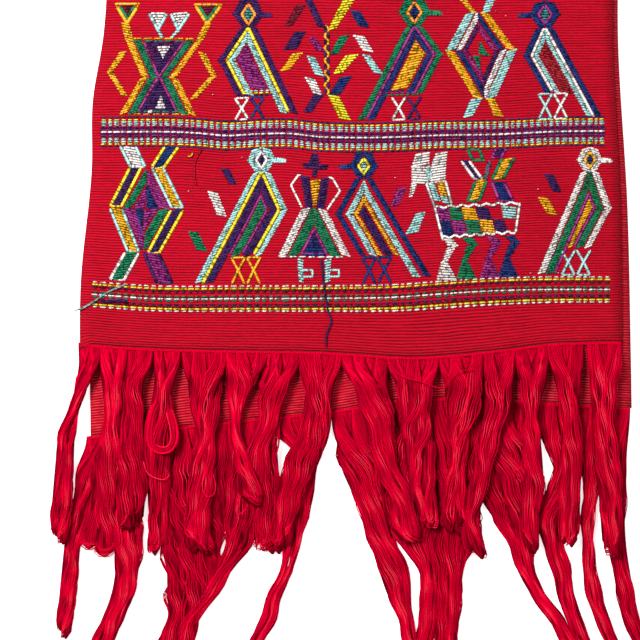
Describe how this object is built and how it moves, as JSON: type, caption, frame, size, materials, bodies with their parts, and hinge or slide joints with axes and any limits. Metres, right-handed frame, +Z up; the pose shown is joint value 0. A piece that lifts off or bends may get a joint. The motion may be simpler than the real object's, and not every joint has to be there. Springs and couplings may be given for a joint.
{
  "type": "embroidered throw",
  "caption": "Handwoven cotton throw lying folded in two, with brocaded bands and figures and a long looped fringe at both ends.",
  "frame": {"origin": "in the underside that the folded cloth lies on, midway across and midway between the folded edge and the upper hem", "axes": "+Z up out of the surface it lies on, +Y along the cloth towards the folded edge and away from the fringes, +X across the cloth, to the right when seen from above with the fringes at the bottom"},
  "size_m": [0.4509, 0.8761, 0.0099],
  "materials": {
    "ribbed_cotton": "matt warp-faced ribbed cotton with brocade in coloured yarn",
    "fringe_yarn": "soft loosely twisted cotton yarn with a slight lustre"
  },
  "bodies": {
    "root": {"throw_cloth": "ribbed_cotton", "upper_fringe": "fringe_yarn", "lower_fringe": "fringe_yarn"}
  },
  "joints": []
}
